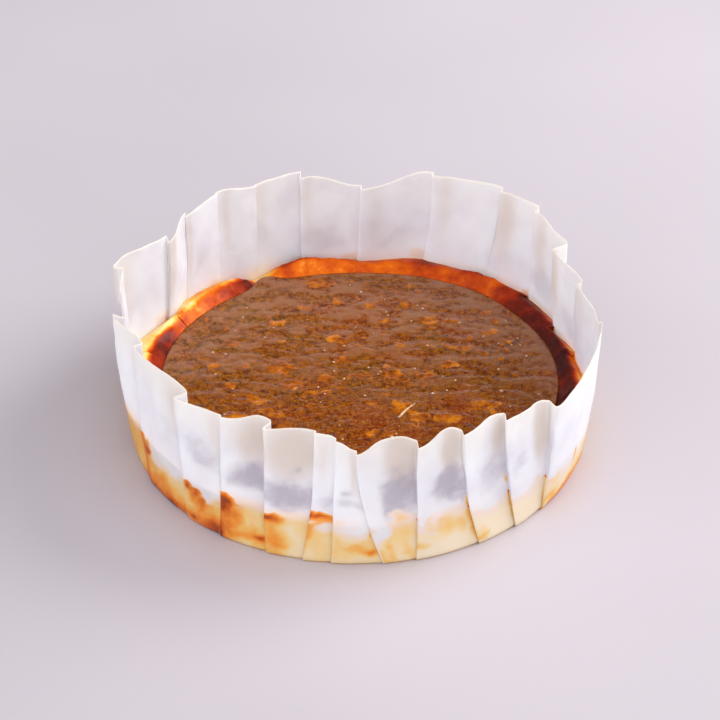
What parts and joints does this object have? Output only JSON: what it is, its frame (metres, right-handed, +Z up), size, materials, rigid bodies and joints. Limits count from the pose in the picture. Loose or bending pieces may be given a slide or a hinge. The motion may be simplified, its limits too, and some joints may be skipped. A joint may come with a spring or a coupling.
{
  "type": "baked cheesecake",
  "caption": "Round baked cheesecake with a browned rim and a sunken top filled with fruit jam, in its pleated baking paper.",
  "frame": {"origin": "middle of the flat underside of the baking paper, on the surface that the cake stands on", "axes": "+Z up through the middle of the cake; -Y points to the side of the paper that the picture shows nearest"},
  "size_m": [0.2358, 0.2313, 0.0788],
  "materials": {
    "cake": "moist baked custard, cream at the side and orange to dark brown on the rim",
    "jam": "glossy amber-brown fruit jam with soft lumps",
    "paper": "thin creased baking paper, soaked see-through where it touches the cake"
  },
  "bodies": {
    "root": {"cake": "cake", "jam": "jam", "paper": "paper"}
  },
  "joints": []
}
